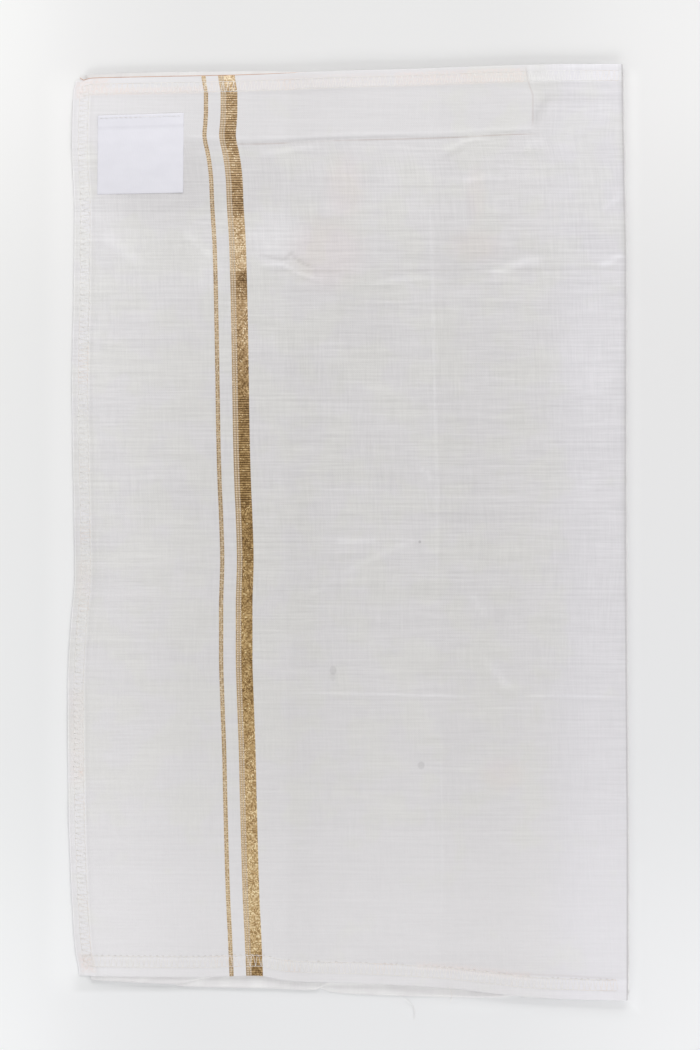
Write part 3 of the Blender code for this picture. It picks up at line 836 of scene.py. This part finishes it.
def panel_cotton():
    """Sheer slubby cotton with woven gold stripes, peach thread at its hems, a few marks, and painted
    light and shade.
    """
    shader = Shader("sheer_cotton")
    x, y, _ = shader.place()
    s, t = shader.fact("across"), shader.fact("along")
    tone, height = weave(shader, s, t, shader.fact("slub"))
    # The cover holds the cloth's tone with painted light and shade in it
    cloth = shader.mix(shader.fact("cover"), (206, 204.5, 203.5), (244, 243.2, 244.1))
    hue = shader.noise(s * 0.06, t * 0.06, 43, 3) + shader.fact("cool") * 0.32
    cloth = shader.tint(cloth, (1, 0.999, 0.985))
    cloth = shader.tint(cloth, (0.998, 0.992, 1.0193), hue.ramp(0.52, 0.7))
    cloth = shader.tint(cloth, (1.009, 0.974, 0.97), shader.fact("warm"))
    cloth = shader.tint(cloth, (0.998, 0.998, 1.018), x.ramp(84, 102))
    cloth = shader.tint(cloth, tone)
    dots = shader.noise(x * 0.9, y * 0.9, 5).ramp(0.38, 0.64, 0.4, 1.25)
    cloth = shader.mix(shader.fact("blush") * dots, cloth, (243, 222, 212))
    # The band's overlocked edge shows through as a thin brown line, with painted shade along it
    where = shader.noise(x * 0.055, 0, 2.5).ramp(0.4, 0.6, 0.04, 0.3)
    lower = shader.fact("below").band(-0.4, 0.2, 0.22) * x.band(-52, 82, 6) * where
    end = shader.fact("past").band(-0.45, 0.35, 0.3) * y.band(184, 209, 2)
    cloth = shader.mix(lower + end * 0.16, cloth, (160, 132, 118))
    # So does the bottom hem's raw edge, towards the fold
    seam = shader.fact("raw").band(-0.45, 0.45, 0.3) * x.ramp(36, 58, 0.03, 0.12)
    cloth = shader.mix(seam * x.ramp(112, 122, 1, 0), cloth, (180, 165, 160))
    # Shade under the label's edges
    shade = x.band(LABEL_BOTTOM_LEFT[0] - 1.2, LABEL_BOTTOM_RIGHT[0] - 0.6, 1.4)
    shade = shade * y.band(LABEL_BOTTOM_LEFT[1] - 1.6, LABEL_TOP_LEFT[1] + 0.5, 1.5)
    cloth = shader.mix(shade * 0.1, cloth, (184, 180, 184))
    for at_x, at_y, wide, long, depth in MARKS:
        away_x, away_y = (x - at_x) / wide, (y - at_y) / long
        away = away_x * away_x + away_y * away_y
        cloth = shader.mix(away.ramp(0.5, 1.7, depth, 0), cloth, (120, 118, 118))
    share, metal, gold = woven_gold(shader, s, t)
    shader.bump(share * 1.2 + height * share.between(1, 0.25), 0.07, 0.8)
    shader.put(shader.surface.inputs["Metallic"], metal * 0.25)
    colour, roughness = shader.mix(share, cloth, gold), metal.ramp(0, 1, 0.86, 0.42)
    return shader.finish(
        colour, roughness, Sheen_Weight=0.1, Sheen_Roughness=0.45, Specular_IOR_Level=0.25
    )


def under_cotton(name, low, high):
    """The same cloth where it lies in the shade of the visible layer."""
    shader = Shader(name)
    x, y, _ = shader.place()
    tone, height = weave(shader, x, y, 0.45)
    blotch = shader.noise(x * 0.08, y * 0.08, 2)
    colour = shader.mix(blotch.ramp(0.35, 0.65), low, high)
    # Painted light: paler where it shows past the bottom edge
    past = x.ramp(22, 38) * y.ramp(-200, -195, 1, 0)
    colour = shader.tint(shader.tint(colour, (1.045, 1.045, 1.045), past), tone)
    shader.bump(height, 0.04, 0.8)
    return shader.finish(
        colour, 0.88, Sheen_Weight=0.08, Sheen_Roughness=0.5, Specular_IOR_Level=0.2
    )


def label_satin():
    """Smooth cool white satin tape."""
    shader = Shader("label_satin")
    x, y, _ = shader.place()
    floats, cloud = shader.noise(x * 3.2, y * 0.35, 1), shader.noise(x * 0.1, y * 0.16, 6)
    colour = shader.mix(cloud.ramp(0.3, 0.7), (232, 231, 238), (235, 234, 241))
    light = ((floats - 0.5) * 0.03 + 1) * y.ramp(157, 180, 0.955, 1)
    ribs = (y * (math.tau / 0.5)).math("SINE")
    shader.bump(ribs * 0.25 + floats, 0.05, 0.6)
    return shader.finish(
        shader.tint(colour, light), 0.46, Sheen_Weight=0.05, Specular_IOR_Level=0.45, Anisotropic=0.3
    )


def thread_cotton(name, plain, tinted):
    """Spun sewing thread, tinted in places."""
    shader = Shader(name)
    x, y, z = shader.place()
    colour = shader.mix(shader.noise(x * 0.055, y * 0.055, 8).ramp(0.53, 0.68), plain, tinted)
    ply = ((x + y + z * 2) * (math.tau / 0.42)).math("SINE")
    shader.bump(ply, 0.03, 0.6)
    return shader.finish(
        shader.tint(colour, ply * 0.04 + 1), 0.7, Sheen_Weight=0.1, Specular_IOR_Level=0.3
    )


def floor_paper():
    """Pale matt paper with painted light: a little brighter towards its corners and beside the packet's
    edges, darker towards the top, and a painted shadow under the packet's lower left corner.
    """
    shader = Shader("pale_floor")
    x, y, _ = shader.place()
    off_x, off_y = x.math("ABSOLUTE"), y.math("ABSOLUTE")
    # Painted light: brighter towards the corners
    share = off_x.ramp(60, 160) * off_y.ramp(80, 240)
    share = share + (shader.noise(x * 0.012, y * 0.012, 4) - 0.5) * 0.15
    colour = shader.mix(share, (237, 237, 237), (246, 246, 246))
    # Painted light: brighter towards the left, and in a strip beside the packet's left edge
    colour = shader.tint(colour, (1.046, 1.05, 1.044), x.ramp(-160, -110, 1, 0))
    beside = x.ramp(-140, -128) * x.ramp(-122, -108, 1, 0) * off_y.ramp(196, 214, 1, 0)
    colour = shader.tint(colour, (1.046, 1.046, 1.044), beside)
    # The soft shadow under the lower left corner
    near = y.ramp(-205.4, -204.4) * x.ramp(-116, -106)
    dark = y.ramp(-208.8, -206.2) * (1 - near) * y.ramp(-202, -198, 1, 0)
    dark = dark * x.ramp(-126, -119) * x.ramp(-84, -62, 1, 0)
    colour = shader.tint(colour, (0.915, 0.915, 0.912), dark)
    # Painted light beside the right edge and beside the bottom edge's right part, where the packet's
    # shade falls
    away = (x - 126.5).math("MAXIMUM", -211 - y)
    near = away.ramp(0.5, 8, 1, 0) * x.ramp(20, 90) * y.ramp(204, 212, 1, 0)
    colour = shader.tint(colour, (1.075, 1.075, 1.075), near)
    colour = shader.tint(colour, (0.99, 0.995, 1.006))
    # Painted shade: darker and warmer towards the top
    colour = shader.tint(colour, (0.98485, 0.97487, 0.96223), y.ramp(-200, 200))
    colour = shader.tint(colour, (0.972, 0.976, 0.976), y.ramp(180, 260))
    return shader.finish(colour, 0.9, Specular_IOR_Level=0.1)


# ---- pieces ----


def panel_lattice():
    """The visible layer's grid: lines on its hems, and close ones where it is creased."""
    side, lower, upper = (HEM_WIDTH[name] for name in ("left", "bottom", "top"))
    columns = (
        # line, moved by, spacing up to the next
        (left_edge, 0, EDGE_ROUND / 2), (left_edge, EDGE_ROUND, 1.2),
        (left_edge, side, HEM_STEP), (left_edge, side + HEM_STEP, GRID),
        (35.6, 0, FINE_GRID), (43.8, 0, GRID), (78, 0, 1.1), (93, 0, GRID),
        (right_edge, -FOLD_RADIUS, GRID),
    )
    rows = (
        (bottom_edge, 0, EDGE_ROUND / 2), (bottom_edge, EDGE_ROUND, 1.3),
        (bottom_edge, lower, HEM_STEP), (bottom_edge, lower + HEM_STEP, GRID),
        (-76.4, 0, FINE_GRID), (-70.8, 0, GRID), (112, 0, 0.8), (129, 0, GRID),
        (156, 0, 0.8), (161, 0, 1.4), (band_lower, -3, 0.8), (band_lower, 0.2, 0.35),
        (band_lower, BAND_INSET + 0.2, 0.6), (band_lower, 4.2, GRID),
        (top_edge, -upper - HEM_STEP, HEM_STEP), (top_edge, -upper, 1.2),
        (top_edge, -EDGE_ROUND, EDGE_ROUND / 2), (top_edge, 0, GRID),
    )
    return lattice(columns, rows)


def blush_share(x, y):
    """Where peach and pink thread shows."""
    total = np.zeros(np.shape(x))
    for side, start, end, outer, inner, share in BLUSH:
        along, inside = y if side == "left" else x, inside_edge(side, x, y)
        patch = ease((along - start) / 3) * ease((end - along) / 3)
        patch = patch * ease((inside - outer) / 0.9 + 0.5) * ease((inner - inside) / 0.9 + 0.5)
        total = np.maximum(total, share * patch)
    return total


def cool_share(x, y):
    """Where the cloth's white is cooler: near its ends, beside the fold and in some patches of painted
    light and shade.
    """
    shares = [
        0.3 + 0.1 * ease((x + 60) / 90),
        0.85 * ease((-112 - y) / 34),
        0.9 * ease((x - 82) / 26) * ease((150 - y) / 60),
        0.9 * ease((y - 160) / 20) * (1 - ease((x - 20) / 60)),
    ]
    shares += [cool * oval_share(x, y, *oval) for *oval, _, cool in PAINTED_LIGHT_PATCHES]
    return np.max(shares, axis=0)


def warm_share(x, y):
    """Faint warm smudges."""
    return np.max([share * oval_share(x, y, *oval) for *oval, share in SMUDGES], axis=0)


def cover_and_painted_light(x, y):
    """How white the cloth looks for what lies under it: hems, the band, more folds; and its painted
    light and shade.
    """
    left, lower, upper = (on_hem(side, x, y) for side in ("left", "bottom", "top"))
    # Partly painted light: the cloth is brighter towards the packet's ends and sides
    levels = tone_across(x) + tone_along(y)
    levels += TONE_HEM["left"] * left * (1 - 0.5 * upper)
    levels += TONE_HEM["bottom"] * lower + TONE_HEM["top"] * upper
    levels += TONE_HEM_LOW * ease((-40 - y) / 90) * left
    levels += TONE_HEM_HIGH * ease((y - 80) / 40) * left
    levels += TONE_BAND * in_band(x, y) + TONE_ROLL * band_roll(x, y)
    raw, within = (
        more * ease(1 - np.abs(inside_edge("bottom", x, y) - at) / half_width)
        for more, at, half_width in TONE_RAW
    )
    levels += raw + within * ease((x + 30) / 60)
    levels += TONE_PALE_END * ease((x - band_end(y)) / 1.5) * upper
    # Patches of painted light and shade
    for *oval, more, _ in PAINTED_LIGHT_PATCHES:
        levels += more * oval_share(x, y, *oval)
    # Painted light and shade across the left hem
    levels = np.minimum(levels, TONE_LIMIT) + left_hem_painted_light(inside_edge("left", x, y))
    # Painted shade beside the fold's upper half
    beside = ease(1 - (right_edge(y) - x - FOLD_RADIUS) / 1.9)
    levels += FOLD_PAINTED_SHADE * beside * ease((y + 60) / 60)
    cover = COVER_START + COVER_LEVEL * levels
    # Painted light and shade along the creases
    for half_width, _, tone, *places in CREASES:
        cover += tone * line_share(x, y, places, half_width)
    return COVER_SCALE * cover


def dhoti_cloth(material):
    """The visible layer, from its left hem over the top and round the right-hand fold."""
    x, y = panel_lattice()
    z = panel_top(x, y)
    # The slubs show less left of the stripes and over the band
    slub = slubs(y) * (0.84 + 0.16 * ease((x + 60) / 16)) * (1 - 0.55 * in_band(x, y))
    facts = {
        "across": x - stripe_path(y),
        "along": y,
        "cover": cover_and_painted_light(x, y),
        "shine": gold_painted_sheen(y),
        "lines": gold_lines(y),
        "slub": slub,
        "blush": blush_share(x, y),
        "below": y - band_lower(x),
        "past": np.clip(x - band_end(y), -8, 8),
        "cool": cool_share(x, y),
        "warm": warm_share(x, y),
        "raw": y - raw_line(x),
    }
    # Round the fold: half a turn, then on between the folds
    round_it, beyond = 10, 4
    turn = math.pi * np.append(np.arange(1, round_it + 1) / round_it, np.ones(beyond))
    tuck = FOLD_TUCK * np.append(np.zeros(round_it), np.arange(1, beyond + 1) / beyond)
    # Painted shade on the cover as the cloth turns down round the fold
    changes = {"across": FOLD_RADIUS * turn + tuck, "cover": COVER_LEVEL * TURN_PAINTED_SHADE * np.sin(turn)}

    def carried(values, change=0):
        """A grid with more columns, each its last one changed by a number."""
        return np.hstack([values, values[:, -1:] + change + 0 * turn])

    facts = {fact: carried(values, changes.get(fact, 0)) for fact, values in facts.items()}
    x, y = carried(x, FOLD_RADIUS * np.sin(turn) - tuck), carried(y)
    z = carried(z, -FOLD_RADIUS * (1 - np.cos(turn)))
    cloth = add_sheet("dhoti_cloth", x, y, z, material, CLOTH, facts)
    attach(cloth, "root")
    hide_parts("dhoti_panel")
    return cloth


def folded_cloth(material):
    """The hidden folds: one sheet that runs left, right and left again under the first."""
    tucked = key_line(right_edge, -FOLD_TUCK - 1.5)
    left_fold = key_line(left_edge, FOLD_LEFT[0])
    right_fold = key_line(right_edge, LOWER_FOLD_REACH)
    free_end = key_line(left_edge, FOLD_LEFT[1])
    runs = ((tucked, left_fold), (left_fold, right_fold), (right_fold, free_end))
    turns = math.pi * np.arange(1, FOLD_TURN_STEPS) / FOLD_TURN_STEPS
    columns = []  # layer, the two lines it lies between, its share of the way, its bulge
    for layer, (start, end) in enumerate(runs):
        columns += [(layer, start, end, share, 0) for share in np.linspace(0, 1, FOLD_COLUMNS)]
        if layer < len(runs) - 1:
            side = 2 * layer - 1
            for turn in turns:
                columns.append((layer + (1 - math.cos(turn)) / 2, end, end, 1, side * math.sin(turn)))
    # Rows: an end, its rounding and its hem's step, evenly along, then the other end
    near, far = (0, 0.002, 0.022, 0.024), (0.976, 0.998, 1)
    inner = part_way(near[-1], far[0], np.linspace(0, 1, FOLD_ROWS)[1:-1])
    rows = np.concatenate([near, inner, far])
    at_y = part_way(BOTTOM, TOP, rows)
    x = np.zeros((len(rows), len(columns)))
    y, z = np.zeros_like(x), np.zeros_like(x)
    for i, (mix, start, end, share, bulge) in enumerate(columns):
        lower = min(int(mix), len(fold_bottom_out) - 2)
        part = mix - lower
        at_x = part_way(start(at_y), end(at_y), share)
        low = [BOTTOM - fold_bottom_out[lower + k](at_x) for k in (0, 1)]
        high = [top_edge(at_x) - FOLD_TOPS[lower + k] for k in (0, 1)]
        bottom, top = part_way(*low, part), part_way(*high, part)
        y[:, i] = part_way(bottom, top, rows)
        ends = np.minimum(y[:, i] - bottom, top - y[:, i])
        sag = 1 - FOLD_DROOP * (1 - ease(ends / FOLD_DROOP_REACH))
        heights = [FOLD_HEIGHTS[lower + k] * stack_top(at_x) * sag for k in (0, 1)]
        x[:, i] = at_x + bulge * (heights[0] - heights[1]) / 2
        z[:, i] = part_way(*heights, part)
        z[:, i] += FOLD_HEM_RISE[lower] * (1 - ease((ends - FOLD_HEM) / FOLD_HEM_STEP))
    z += FOLD_SWELL * swells(x + 40, y)
    z = np.minimum(z, under_panel(x, y) - CLOTH / 2 - GAP)
    cloth = add_sheet("folded_cloth", x, y, np.maximum(z, FOLD_LOWEST), material, CLOTH)
    cloth.modifiers["thickness"].offset = 0
    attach(cloth, "root")
    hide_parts("folded_layers")
    return cloth


def band_cloth(material):
    """The band under the top end, a doubled strip."""
    columns = ((BAND_LEFT, 0, BAND_GRID), (band_end, -BAND_INSET, BAND_GRID))
    rows = (
        (band_lower, BAND_INSET, BAND_GRID),
        (band_lower, BAND_INSET + BAND_HEM, BAND_GRID),
        (band_upper, -BAND_HEM, BAND_GRID),
        (band_upper, 0, BAND_GRID),
    )
    x, y = lattice(columns, rows)
    z = stack_top(x) + BAND_REST + BAND_SWELL * swells(x, y + 90)
    z -= BAND_DROOP * (1 - ease((band_upper(x) - y) / BAND_DROOP_REACH))
    z = np.minimum(z, under_panel(x, y) - GAP)
    band = add_sheet("band_cloth", x, y, z, material, 0.5)
    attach(band, "root")
    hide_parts("inner_band")
    return band


def label_place(share_x, share_y):
    """A place on the label from its shares across and up."""
    left = [part_way(*ends, share_y) for ends in zip(LABEL_BOTTOM_LEFT, LABEL_TOP_LEFT)]
    right = [part_way(*ends, share_y) for ends in zip(LABEL_BOTTOM_RIGHT, LABEL_TOP_RIGHT)]
    return [part_way(*ends, share_x) for ends in zip(left, right)]


def label_seat(x, y):
    """The label's underside: stiffer than the cloth, so it bridges small hollows."""
    reach = (-6, -3, 0, 3, 6)
    around = [panel_top(x + dx, y + dy) for dx in reach for dy in reach]
    return np.maximum(panel_top(x, y), np.mean(around, axis=0)) + LABEL_GAP


def label_tape(material):
    """The label, with its top end turned over."""
    width = LABEL_TOP_RIGHT[0] - LABEL_TOP_LEFT[0]
    length = LABEL_TOP_LEFT[1] - LABEL_BOTTOM_LEFT[1]
    fold = 1 - LABEL_FOLD / length
    rim = np.array((0, LABEL_ROUND / 2, LABEL_ROUND))
    across = [rim / width, np.linspace(0.03, 0.97, 32), 1 - rim[::-1] / width]
    up = [rim / length, np.linspace(0.04, fold - 0.25 / length, 24), np.linspace(fold, 0.975, 7)]
    up = [*up, 1 - rim[::-1] / length]
    share_x, share_y = np.meshgrid(np.concatenate(across), np.concatenate(up))
    x, y = label_place(share_x, share_y)
    curl = LABEL_CURL * ease((share_x - 0.8) / 0.2) * ease((0.3 - share_y) / 0.3)
    inside_x = np.minimum(share_x, 1 - share_x) * width
    inside_y = np.minimum(share_y, 1 - share_y) * length
    rounded = LABEL_ROUNDING * (1 - ease(np.minimum(inside_x, inside_y) / LABEL_ROUND))
    z = label_seat(x, y) + LABEL_THICK + curl - rounded
    z += np.where(share_y >= fold, LABEL_THICK, 0)
    tape = add_sheet("label_tape", x, y, z, material, LABEL_THICK)
    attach(tape, "root")
    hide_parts("sewn_label")
    return tape


def on_panel(side, along, inside, lift):
    """Points on the visible layer, along one side's hem and in from its edge, lifted off it."""
    if side == "left":
        x, y = left_edge(along) + inside, along
    elif side == "bottom":
        x, y = along, bottom_edge(along) + inside
    else:
        x, y = along, top_edge(along) - inside
    return np.stack([x, y, panel_top(x, y) + lift], axis=-1)


def overlock_paths(side, outer, raw, start, end):
    """Three threads: the needle line, the looper's loops and the edge chain."""
    random = np.random.default_rng(len(side) * 7 + 1)
    count = int(abs(end - start) / STITCH)
    pitch = (end - start) / count
    loose = 0.07 if side == "left" else 0.035
    jitter = random.normal(0, loose, (count, 2))
    along, out = np.array(LOOP).T
    at = np.arange(count)[:, None] + along + jitter[:, :1]
    depth = outer + (raw - outer) * out + 4 * jitter[:, 1:]
    at = (start + pitch * at).ravel()
    at = np.maximum.accumulate(at) if pitch > 0 else np.minimum.accumulate(at)
    looper = on_panel(side, at, depth.ravel(), -THREAD_SINK)
    line = start + pitch * np.arange(0, count, 0.25)
    quarter = math.pi * np.arange(len(line)) / 4
    needle = on_panel(side, line, outer, 0)
    needle[:, 2] += THREAD * (1.1 * np.abs(np.sin(quarter)) - 0.6)
    edge = on_panel(side, line, raw + 0.16 * np.sin(2 * quarter), -THREAD_SINK)
    return [looper, needle, edge]


def sewing(cotton, pale):
    """Overlock on the three hems, and the stitches that hold the label."""
    paths, paler = [], []
    for side, outer, raw, start, end in OVERLOCK:
        threads = overlock_paths(side, outer, raw, start, end)
        if side == "top":
            cut = [np.searchsorted(thread[:, 0], PALE_FROM) for thread in threads]
            paler += [thread[k:] for thread, k in zip(threads, cut)]
            threads = [thread[:k] for thread, k in zip(threads, cut)]
        paths += threads
    random = np.random.default_rng(5)
    tacks = []
    across, lift = np.array(LABEL_STITCH).T
    for share_x in np.arange(0.05, 0.97, 0.056):
        x, y = label_place(share_x, 0.965 + random.normal(0, 0.002))
        x, y = x + across, np.full(len(across), y)
        tacks.append(np.column_stack([x, y, label_seat(x, y) + 2 * LABEL_THICK + lift]))
    for name, group, radius, material in (
        ("overlock_thread", paths, THREAD, cotton),
        ("overlock_thread_pale", paler, THREAD, pale),
        ("label_stitches", tacks, 0.1, pale),
    ):
        add_threads(name, group, radius, material)


def edge_threads(brown, grey):
    """The brown thread along the top edge, and the blind stitches on the bottom hem."""
    # The brown thread partly stands in for the shade in the gap under the top edge: a dark line put
    # where there is shade
    x = np.linspace(-118.8, -18, 120)
    line = on_panel("top", x, 0.1, 0)
    line[:, 2] += 0.04 - 0.16 * ease((x + 50) / 32)
    tail = on_panel("top", *np.array(THREAD_TAIL).T)
    add_threads("edge_thread", [np.vstack([tail, line[1:]])], 0.15, brown)
    random = np.random.default_rng(9)
    dashes = []
    for at in np.arange(-116, 120, BLIND_PITCH):
        if at > BLIND_HIDDEN_FROM and random.random() < BLIND_HIDDEN:
            continue
        start = at + random.normal(0, 0.12)
        along = np.linspace(start, start + BLIND_LENGTH, len(BLIND_SINK))
        dashes.append(on_panel("bottom", along, BLIND_IN, np.array(BLIND_SINK)))
    add_threads("hem_stitches", dashes, 0.09, grey)


def loose_ends(material):
    """Two thread tails past the bottom edge."""
    tails = (
        ((46, -205, 3.4), (47, -207.4, 2.9), (47.3, -209.6, 1.4), (46.6, -212, 0.4)),
        ((26, -210.6, 1), (28.4, -212.6, 0.4), (30.4, -216, 0.25), (30.2, -219.6, 0.25)),
    )
    at, fine = np.linspace(0, 1, 4), np.linspace(0, 1, 16)
    paths = []
    for tail in tails:
        paths.append(np.stack([curve(*zip(at, values))(fine) for values in zip(*tail)], -1))
    add_threads("loose_ends", paths, THREAD, material)


# ---- setting ----


def add_floor(material):
    far, below = 1500, -0.02
    corners = [(-far, -far, below), (far, -far, below), (far, far, below), (-far, far, below)]
    floor = add_mesh("floor", corners, [(0, 1, 2, 3)], material)


def add_light(name, place, size, watts):
    """A rectangular lamp that shines at the packet's middle."""
    light = bpy.data.lights.new(name, "AREA")
    light.shape = "RECTANGLE"
    light.size, light.size_y = size
    light.energy = watts
    placed = bpy.data.objects.new(name, light)
    placed.location = place
    placed.rotation_euler = (-Vector(place)).to_track_quat("-Z", "Y").to_euler()
    bpy.context.scene.collection.objects.link(placed)


def add_world(strength):
    world = bpy.data.worlds.new("studio")
    bpy.context.scene.world = world
    world.use_nodes = True
    background = world.node_tree.nodes["Background"]
    background.inputs["Color"].default_value = (1, 1, 1, 1)
    background.inputs["Strength"].default_value = strength


def add_camera():
    """Straight above, so far up that the picture's long side holds its millimetres."""
    camera = bpy.data.cameras.new("camera")
    camera.lens = LENS
    camera.sensor_width = SENSOR
    camera.sensor_fit = "AUTO"
    placed = bpy.data.objects.new("camera", camera)
    x = (IMAGE[0] / 2 - FRAME_MIDDLE[0]) * MM_PER_PIXEL
    y = (FRAME_MIDDLE[1] - IMAGE[1] / 2) * MM_PER_PIXEL
    z = LENS / SENSOR * IMAGE[1] * MM_PER_PIXEL + CAMERA_OVER
    placed.location = (x * MM, y * MM, z * MM)
    bpy.context.scene.collection.objects.link(placed)
    bpy.context.scene.camera = placed


def main():
    cotton = panel_cotton()
    shade = under_cotton("shaded_cotton", (233, 231, 232), (240, 239, 239))
    band = under_cotton("band_cotton", (224, 221, 220), (231, 229, 228))
    thread = thread_cotton("cream_thread", (241, 238, 234), (242, 232, 225))
    brown = thread_cotton("brown_thread_and_edge_shade", (212, 172, 150), (188, 144, 122))
    grey = thread_cotton("grey_thread", (219, 215, 211), (222, 214, 208))
    pale = thread_cotton("white_thread", (243, 242, 241), (242, 237, 234))
    cloth = dhoti_cloth(cotton)
    folds = folded_cloth(shade)
    strip = band_cloth(band)
    tape = label_tape(label_satin())
    sewing(thread, pale)
    edge_threads(brown, grey)
    loose_ends(pale)
    add_floor(floor_paper())
    add_light("key_top", (-0.05, 0.98, 0.56), (1.9, 0.5), 9.6)
    add_light("key_bottom", (0.12, -0.98, 0.56), (1.9, 0.5), 7.2)
    add_light("fill_left", (-0.95, 0, 0.5), (0.4, 1.4), 1.25)
    add_light("fill_right", (0.95, 0, 0.5), (0.4, 1.4), 1.6)
    add_world(0.4)
    add_camera()
    bpy.context.scene.view_settings.view_transform = "Standard"
    bpy.context.scene.view_settings.look = "None"


main()
